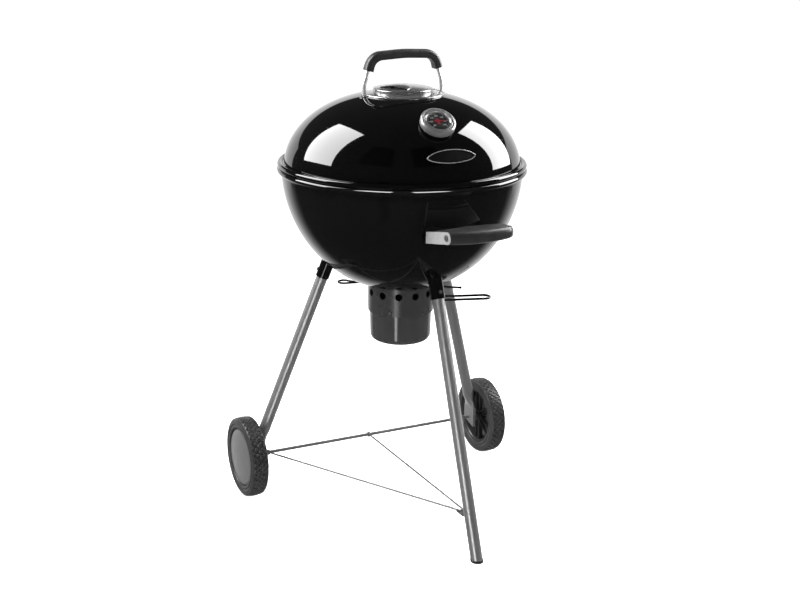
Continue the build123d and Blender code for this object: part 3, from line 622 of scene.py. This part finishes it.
def vent_hood(mouth, chord, facing):
    """Half a shallow dome on the cap, open towards the rim."""
    points = []
    rows = 14
    steps = 40
    for row in range(rows + 1):
        share = math.sin(math.pi / 2 * row / rows)
        for step in range(steps + 1):
            turn = math.pi * step / steps
            along = hood_half * share * math.cos(turn)
            back = hood_back * share * math.sin(turn)
            bulge = hood_bulge * (1 - (along / hood_half) ** 2)
            place = mouth + chord * along + facing * (bulge - back)
            reach = math.hypot(place.x - kettle.x, place.y - kettle.y)
            lift = hood_rise * math.sqrt(max(1 - share * share, 0))
            points.append(Vector((place.x, place.y, cap_surface(reach) + lift - 0.2 * MM)))
    hood = mesh_object("vent_hood", points, ring_faces(rows + 1, steps + 1, wrapped=False), 60)
    shell = hood.modifiers.new("sheet", "SOLIDIFY")
    shell.thickness = 1.0 * MM
    apply_modifiers(hood)
    return hood


def vent_tab():
    """The tab that turns the cap."""
    outwards, aside = directions(tab_azimuth)
    outline = in_mm(rounded([(-6, 0), (6, 0), (5, 9), (-5, 9)], [0, 0, 3, 3]))
    outline = [(a, b + tab_root) for a, b in outline]
    return prism("vent_tab", outline, kettle, (aside, outwards, upwards), cap_edge, cap_edge + 1.6 * MM)


def vent_cap():
    """Disc, hood and tab as one piece."""
    facing, chord = directions(hood_azimuth)
    mouth = kettle + facing * hood_reach
    parts = [vent_disc(mouth, chord, facing), vent_hood(mouth, chord, facing), vent_tab()]
    return join("vent_cap_shell", parts, 40)


finish_piece(vent_cap(), "vent", "chrome", "vent_cap")


def base_edge():
    """Rolled edge of the vent's base plate."""
    reach = 95.6 * MM
    wire = 1.7 * MM
    ring = [(reach + a, lid_surface(reach) + wire + b) for a, b in circle(wire, 16)]
    return lathe("vent_base_edge", ring, kettle, segments=160, sharp=80)


finish_piece(base_edge(), "lid_body", "chrome")


# ---------------------------------------------------------------- thermometer
gauge_origin, gauge_level, gauge_up, gauge_normal = lid_place(-5.3, 203.0 * MM)
gauge_axes = (gauge_level, gauge_up, gauge_normal)
print_level = 15.02 * MM
print_depth = 0.18 * MM
scale_start = 225
scale_sweep = 270


def gauge_case():
    """Case with a flat side band, a stepped bezel and the well that holds the dial, in millimetres."""
    side = [(14, 0.6), (14, 3.6), (37.0, 3.6), (39.3, 4.4), (40, 6.2)]
    side += [(40, 14.6), (39.6, 16.8), (38.4, 18.6), (36.6, 19.8)]
    steps = [(35.0, 20.0), (34.0, 19.4), (33.6, 17.8), (33.0, 17.2)]
    steps += [(32.4, 17.8), (31.8, 19.2), (30.8, 19.9), (29.6, 19.6)]
    well = [(28.6, 17.2), (27.6, 16.3), (26.6, 15.7), (26.2, 15.4), (26.2, 13.6), (4, 13.6), (4, 0.6)]
    profile = in_mm(side + steps + well)
    return lathe("thermometer_bezel", profile, gauge_origin, gauge_normal, 128, sharp=50)


def gauge_tick(turn, start, width):
    """A mark from a start radius to the scale's edge, both in millimetres."""
    edge = 24.6
    along = Vector((math.cos(turn), math.sin(turn)))
    aside = Vector((-math.sin(turn), math.cos(turn))) * width
    corners = [along * start - aside, along * edge - aside, along * edge + aside, along * start + aside]
    outline = in_mm([tuple(corner) for corner in corners])
    return prism("tick", outline, gauge_origin, gauge_axes, print_level, print_level + print_depth)


def gauge_figure(turn, figure):
    """A number of the scale as a thin mesh on the dial."""
    reach = 16.4 * MM
    text = bpy.data.curves.new("figure", "FONT")
    text.body = figure
    text.size = 5.6 * MM
    text.align_x = "CENTER"
    text.align_y = "CENTER"
    text.extrude = print_depth / 2
    holder = bpy.data.objects.new("figure", text)
    scene.collection.objects.link(holder)
    middle = gauge_level * math.cos(turn) * reach + gauge_up * math.sin(turn) * reach
    place = Matrix.Translation(gauge_origin + middle + gauge_normal * (print_level + print_depth / 2))
    mesh = bpy.data.meshes.new_from_object(holder)
    mesh.transform(place @ Matrix(gauge_axes).transposed().to_4x4())
    bpy.data.objects.remove(holder)
    part = bpy.data.objects.new("figure", mesh)
    scene.collection.objects.link(part)
    return part


def gauge_marks():
    """White ticks and figures round the dial; every fifth tick is longer and wider."""
    parts = []
    for index in range(31):
        turn = math.radians(scale_start - scale_sweep * index / 30)
        start, width = (21.0, 0.45) if index % 5 == 0 else (22.6, 0.25)
        parts.append(gauge_tick(turn, start, width))
    for index, figure in enumerate(("50", "100", "150", "200", "250", "300", "350")):
        parts.append(gauge_figure(math.radians(scale_start - scale_sweep * index / 6), figure))
    return join("dial_marks", parts)


def gauge_zone():
    """Red field in the middle of the dial, under the needle."""
    outline = in_mm(rounded([(-3.0, -8.5), (3.0, -8.5), (3.0, 8.5), (-3.0, 8.5)], 1.0))
    return prism("dial_zone", outline, gauge_origin, gauge_axes, print_level, 15.16 * MM)


finish_piece(gauge_case(), "lid_body", "polished_steel", "thermometer_case")
finish_piece(gauge_marks(), "lid_body", "dial", look="dial_print")
finish_piece(gauge_zone(), "lid_body", "dial", look="needle_paint")


# ---------------------------------------------------------------- lid handle's grip
def bail_path():
    """Middle line of the grip as (x, z) in millimetres, in steps of about 5 mm."""
    knee_x, knee_z, shoulder_x, top = 99.0, 1035.0, 80.0, 1103.0
    shoulder_z = top - 4.0
    start_z = 1067.0
    start_x = knee_x - (knee_x - shoulder_x) * (start_z - knee_z) / (shoulder_z - knee_z)
    corners = [(-start_x, start_z), (-shoulder_x, shoulder_z), (0, top)]
    corners += [(shoulder_x, shoulder_z), (start_x, start_z)]
    line = rounded(corners, [0, 32.0, 300.0, 32.0, 0], 14, closed=False)
    path = []
    for (x0, z0), (x1, z1) in zip(line, line[1:]):
        pieces = max(int(math.hypot(x1 - x0, z1 - z0) / 5.0), 1)
        shares = [step / pieces for step in range(pieces)]
        path += [(x0 + (x1 - x0) * share, z0 + (z1 - z0) * share) for share in shares]
    path.append(line[-1])
    return path


def bail_grip():
    """Moulded grip: flatter below than above, and a little thinner just inside its ends."""
    low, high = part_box("lid_handle_grip")
    corners = [(-12.6, -9.8), (12.6, -9.8), (12.6, 10.0), (-12.6, 10.0)]
    outline = rounded(corners, [3.5, 3.5, 8.0, 8.0], 6)
    path = bail_path()
    last = len(path) - 1
    points = []
    for index, (x, z) in enumerate(path):
        along = Vector(path[min(index + 1, last)]) - Vector(path[max(index - 1, 0)])
        along.normalize()
        near = min(index, last - index)
        swell = 1.0 + 0.05 * max(1 - near / 3.0, 0) - 0.04 * (1 - min(near / 12.0, 1))
        for across, rise in outline:
            out = rise * swell
            points.append(at(x - along.y * out, across * swell, z + along.x * out))
    return mesh_object("lid_grip", points, ring_faces(len(path), len(outline), capped=True), 40)


finish_piece(bail_grip(), "lid_body", "black_grip", "lid_handle_grip")


# ---------------------------------------------------------------- front handle's grip
def front_grip_section(x):
    """The grip's outline at a distance from its middle, as (y, z) in millimetres."""
    half = 75.7
    bulge = 1 - (x / half) ** 2
    back = -339.0 + 4.0 * bulge
    front = -380.0 - 12.8 * bulge ** 0.8
    end = min(abs(half - abs(x)) / 3.0, 1.0)
    height = (13.2 + 1.2 * bulge) * (0.93 + 0.07 * end)
    corners = [(back, -height), (back, height), (front, height), (front, -height)]
    return rounded(corners, [6.0, 7.0, 12.4, 10.5], 7)


def front_grip():
    """Moulded grip that bulges forward in the middle."""
    half = 75.7
    stations = 36
    middle_z = 757.5
    points = []
    for index in range(stations + 1):
        x = -half + 2 * half * index / stations
        section = front_grip_section(x)
        points += [at(x, y, middle_z + z) for y, z in section]
    return mesh_object("front_grip", points, ring_faces(stations + 1, len(section), capped=True), 50)


finish_piece(front_grip(), "stand", "black_grip", "handle_grip")
for part in ("cheek_left", "cheek_right", "heat_shield", "mount", "screws"):
    bevel(nodes["handle_" + part], 0.4 * MM)
for place in ("front", "rear_left", "rear_right"):
    bevel(nodes["leg_socket_" + place], 0.5 * MM)


# ---------------------------------------------------------------- foot: only the sole shows below the tube
def foot_sole():
    """The visible black sole; each row is a height and the radius of the leaning cap there."""
    low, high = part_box("front_foot_cap")
    tilt = math.radians(20.3)
    cap_wall_radius = 15.2 * MM
    middle_x = (low.x + high.x) / 2
    start_y = low.y + cap_wall_radius / math.cos(tilt)
    rows = in_mm([(0.0, 13.6), (0.8, 14.6), (5.6, 14.9), (6.4, 14.3)])
    steps = 48
    points = []
    for height, radius in rows:
        for a, b in circle(radius, steps):
            points.append((middle_x + a, start_y + height * math.tan(tilt) + b / math.cos(tilt), height))
    return mesh_object("foot_sole", points, ring_faces(len(rows), steps, capped=True), 50)


finish_piece(foot_sole(), "stand", "black_plastic", "front_foot_cap")


# ---------------------------------------------------------------- wheels
tread_half = 16.8
tread_pitch = 15.0
diamonds = 42
groove_depth = 2.6
groove_half = 0.13


def tyre_rows():
    """Points across the tyre as (x, radius, is tread) in millimetres, from one bead to the other."""
    half_wall = [(17.0, 72.3), (19.4, 72.8), (20.6, 74.4), (21.0, 76.0), (21.0, 79.4), (20.2, 80.6)]
    half_wall += [(19.7, 81.6), (20.3, 83.2), (21.2, 84.8), (21.4, 87.0), (20.6, 88.4), (20.4, 89.6)]
    half_wall += [(20.8, 91.2), (20.2, 93.8), (19.0, 96.2), (17.6, 97.6)]
    lanes = 28
    tread = []
    for lane in range(lanes + 1):
        x = tread_half - 2 * tread_half * lane / lanes
        tread.append((x, 98.2 + 1.8 * (1 - (x / tread_half) ** 2)))
    rows = [(x, radius, False) for x, radius in half_wall]
    rows += [(x, radius, True) for x, radius in tread]
    rows += [(-x, radius, False) for x, radius in half_wall[::-1]]
    return rows


def groove(x, turns):
    """Depth of the crossing grooves at a place on the tread; turns counts diamonds round the tyre."""
    lane = x / tread_pitch
    first = abs((turns + lane) % 1.0 - 0.5)
    second = abs((turns - lane) % 1.0 - 0.5)
    return groove_depth * max(0.0, min(1.0, (groove_half + 0.05 - min(first, second)) / 0.07))


def tyre(place, hand):
    """Rubber tyre with stepped side walls and diamond lugs round the tread."""
    hub = centre("tyre_" + place)
    rows = tyre_rows()
    steps = diamonds * 15
    points = []
    for step in range(steps):
        turn = 2 * math.pi * step / steps
        for x, radius, treaded in rows:
            if treaded:
                radius -= groove(x, diamonds * step / steps)
            spoke = radius * MM
            points.append(hub + Vector((hand * x * MM, spoke * math.cos(turn), spoke * math.sin(turn))))
    return mesh_object("tyre_rubber_" + place, points, ring_faces(steps, len(rows), looped=True), 42)


def rim(place, hand):
    """Wheel body: barrel, hub and six tapered spokes with ribs."""
    hub = centre("tyre_" + place)
    axis = Vector((hand, 0, 0))
    barrel = [(72.2, -16.8), (72.2, 14), (66.5, 14), (65.4, 2)]
    barrel += [(65.0, -9), (66.4, -12), (66.4, -14), (68.4, -16.8)]
    core = [(7.2, -17), (11.5, -17), (13, -15.5), (13, 8), (7.2, 8)]
    parts = [lathe("barrel", in_mm(barrel), hub, axis, 96, sharp=30)]
    parts.append(lathe("core", in_mm(core), hub, axis, 48, sharp=30))
    plate = in_mm([(11, -6.5), (66, -12), (66, 12), (11, 6.5)])
    ribs = []
    for side in (-1, 1):
        ribs.append(in_mm([(11, side * 5.5), (66, side * 10.5), (66, side * 12), (11, side * 7.0)]))
    for index in range(6):
        turn = math.radians(30 + 60 * index)
        along = Vector((0, math.cos(turn), math.sin(turn)))
        axes = (along, axis.cross(along), axis)
        parts.append(prism("plate", plate, hub, axes, -4.5 * MM, 0.0))
        parts += [prism("rib", rib, hub, axes, -11 * MM, -4.0 * MM) for rib in ribs]
    return join("wheel_body_" + place, parts, 30)


def hub_cap(place, hand):
    """Shallow domed cap with a stepped edge."""
    hub = centre("tyre_" + place)
    face = [(0, 23.8), (10, 23.7), (20, 23.4), (30, 22.9), (40, 22.2)]
    face += [(50, 21.2), (58, 20.2), (64, 19.4), (67, 18.9)]
    edge = [(68.6, 18.4), (69.8, 17.6), (70.4, 16.4), (70.4, 15.2), (69.0, 15.2), (68.6, 16.4), (66, 17.4)]
    back = [(50, 19.8), (30, 21.4), (0, 22.3)]
    return lathe("hub_dome_" + place, in_mm(face + edge + back), hub, (hand, 0, 0), 96, sharp=50)


for place, hand in (("left", -1), ("right", 1)):
    body = "wheel_" + place
    finish_piece(tyre(place, hand), body, "tyre", "tyre_" + place)
    finish_piece(rim(place, hand), body, "wheel_plastic", "wheel_rim_" + place)
    finish_piece(hub_cap(place, hand), body, "hub_cap_plastic", "hub_cap_" + place)


# ---------------------------------------------------------------- studio
def glow_material(name, strength):
    """A plain glowing surface."""
    material = bpy.data.materials.new(name)
    material.use_nodes = True
    tree = material.node_tree
    tree.nodes.clear()
    glow = tree.nodes.new("ShaderNodeEmission")
    glow.inputs["Strength"].default_value = strength
    output = tree.nodes.new("ShaderNodeOutputMaterial")
    tree.links.new(glow.outputs["Emission"], output.inputs["Surface"])
    return material


def emitter(name, corners, strength, mirrored=True):
    """A glowing panel that isn't seen itself, and shows in reflections only if it is mirrored."""
    corners = [kettle + Vector(corner) for corner in corners]
    panel = mesh_object(name, corners, [tuple(range(len(corners)))])
    panel.data.materials.append(glow_material(name, strength))
    panel.visible_camera = False
    panel.visible_glossy = mirrored


def fill_panel(name, middle, half, strength):
    """A square panel that faces the grill and only softens its shadows."""
    middle = Vector(middle)
    u, v, _ = frame_of(middle - Vector((0, 0, 0.5)))
    corners = [middle + u * a * half + v * b * half for a, b in ((-1, -1), (1, -1), (1, 1), (-1, 1))]
    emitter(name, corners, strength, mirrored=False)


# Corners in metres
left_softbox = [(-1.697, 1.585, 1.255), (-2.283, 0.291, 1.579)]
left_softbox += [(-0.880, 0.376, 2.964), (-0.621, 1.415, 2.528)]
right_softbox = [(1.297, -0.213, 2.747), (1.599, 0.666, 2.313)]
right_softbox += [(2.319, 0.199, 0.896), (2.162, -0.982, 1.09)]
softbox_strength = 14.0
emitter("left_softbox", left_softbox, softbox_strength)
emitter("right_softbox", right_softbox, softbox_strength)
fill_panel("fill_left", (-2.6, -1.6, 1.3), 0.6, 4.0)
fill_panel("fill_front", (0.4, -3.4, 1.6), 0.8, 2.0)


def light_only(name, receivers):
    """Let a panel light only the pieces given."""
    group = bpy.data.collections.new(name + "_receivers")
    for piece in receivers:
        group.objects.link(piece)
    bpy.data.objects[name].light_linking.receiver_collection = group


def strip_light(name, azimuth, distance, half_width, low, high, strength):
    """A tall narrow panel."""
    outwards, sideways = directions(azimuth)
    middle = outwards * distance
    aside = sideways * half_width
    foot, top = Vector((0, 0, low)), Vector((0, 0, high))
    corners = [middle - aside + foot, middle + aside + foot, middle + aside + top, middle - aside + top]
    emitter(name, corners, strength)


stand_metal = [nodes[name] for name in nodes if "leg" in name or "ash" in name or "air_sleeve" == name]
stand_metal += [nodes[name] for name in nodes if "brace" in name or "axle" in name]
stand_metal += [bpy.data.objects["tyre_rubber_" + place] for place in ("left", "right")]
strip_light("leg_strip", -43.0, 2.6, 0.2, -1.2, 1.0, 7.0)
light_only("leg_strip", stand_metal)


def rim_light(name, start, end):
    """A high panel between two azimuths that lights only the bowl and shows in its rolled rim."""
    distance = 2.6
    source = Vector((0, 0, 0.84))
    corners = []
    for azimuth, elevation in ((start, 30), (end, 30), (end, 60), (start, 60)):
        rise = math.radians(elevation)
        level = directions(azimuth)[0] * math.cos(rise)
        corners.append((level + Vector((0, 0, math.sin(rise)))) * distance + source)
    emitter(name, corners, 20.0)
    light_only(name, [bowl_shell])


rim_light("rim_light_left", -72, -37)
rim_light("rim_light_right", -15, 20)


def studio_floor():
    """A pale floor under the grill that mirrors nothing into the enamel."""
    half = 40.0
    corners = [(-half, -half, 0), (half, -half, 0), (half, half, 0), (-half, half, 0)]
    floor = mesh_object("floor", corners, [(0, 1, 2, 3)])
    material, tree, shader = new_material("floor", grey(0.8), 0.7)
    shader.inputs["Specular IOR Level"].default_value = 0.0
    shader.inputs["Emission Color"].default_value = (1, 1, 1, 1)
    shader.inputs["Emission Strength"].default_value = 1.0
    vary(tree, shader, "Roughness", noise(tree, 3, 2), 0.65, 0.75)
    floor.data.materials.append(material)
    floor.visible_glossy = False


def backdrop():
    """A white dome that only the camera sees."""
    radius = 60.0
    profile = superellipse(radius, radius, (2, 2), 24)
    dome = lathe("backdrop", profile, (0, 0, -4.0), segments=64, closed=False)
    dome.data.materials.append(glow_material("backdrop", 1.0))
    dome.visible_diffuse = False
    dome.visible_glossy = False
    dome.visible_transmission = False
    dome.visible_shadow = False


def surroundings():
    """A bright low wall and floor beyond the grill in an otherwise dark studio."""
    world = bpy.data.worlds.new("studio")
    scene.world = world
    world.use_nodes = True
    tree = world.node_tree
    background = tree.nodes["Background"]
    background.inputs["Color"].default_value = (1, 1, 1, 1)

    def maths(operation, *values):
        node = tree.nodes.new("ShaderNodeMath")
        node.operation = operation
        for index, value in enumerate(values):
            if isinstance(value, (int, float)):
                node.inputs[index].default_value = value
            else:
                tree.links.new(value, node.inputs[index])
        return node.outputs[0]

    def step(value, low, high):
        node = tree.nodes.new("ShaderNodeMapRange")
        node.interpolation_type = "SMOOTHSTEP"
        node.inputs["From Min"].default_value = low
        node.inputs["From Max"].default_value = high
        tree.links.new(value, node.inputs["Value"])
        return node.outputs["Result"]

    place = tree.nodes.new("ShaderNodeTexCoord")
    parts = tree.nodes.new("ShaderNodeSeparateXYZ")
    tree.links.new(place.outputs["Generated"], parts.inputs[0])
    x, y, z = parts.outputs
    away_x = maths("MULTIPLY", x, math.sin(view_azimuth))
    away_y = maths("MULTIPLY", y, math.cos(view_azimuth))
    away = maths("ADD", away_x, away_y)
    flat = maths("SQRT", maths("ADD", maths("MULTIPLY", x, x), maths("MULTIPLY", y, y)))
    bearing = maths("DIVIDE", away, maths("MAXIMUM", flat, 0.001))
    above = maths("SUBTRACT", z, maths("MULTIPLY", away, 0.306))
    wall = maths("MULTIPLY", step(bearing, 0.65, 0.68), step(above, 0.01, -0.02))
    wall = maths("MULTIPLY", wall, step(z, -0.32, -0.2))
    ground = maths("MULTIPLY", step(away, 0.47, 0.86), step(z, -0.2, -0.32))
    wall_strength, ground_strength, base_strength = 1.2, 1.1, 0.045
    light = maths("ADD", maths("MULTIPLY", wall, wall_strength), maths("MULTIPLY", ground, ground_strength))
    light = maths("ADD", light, base_strength)
    tree.links.new(light, background.inputs["Strength"])


studio_floor()
backdrop()
surroundings()
scene.view_settings.view_transform = "Standard"
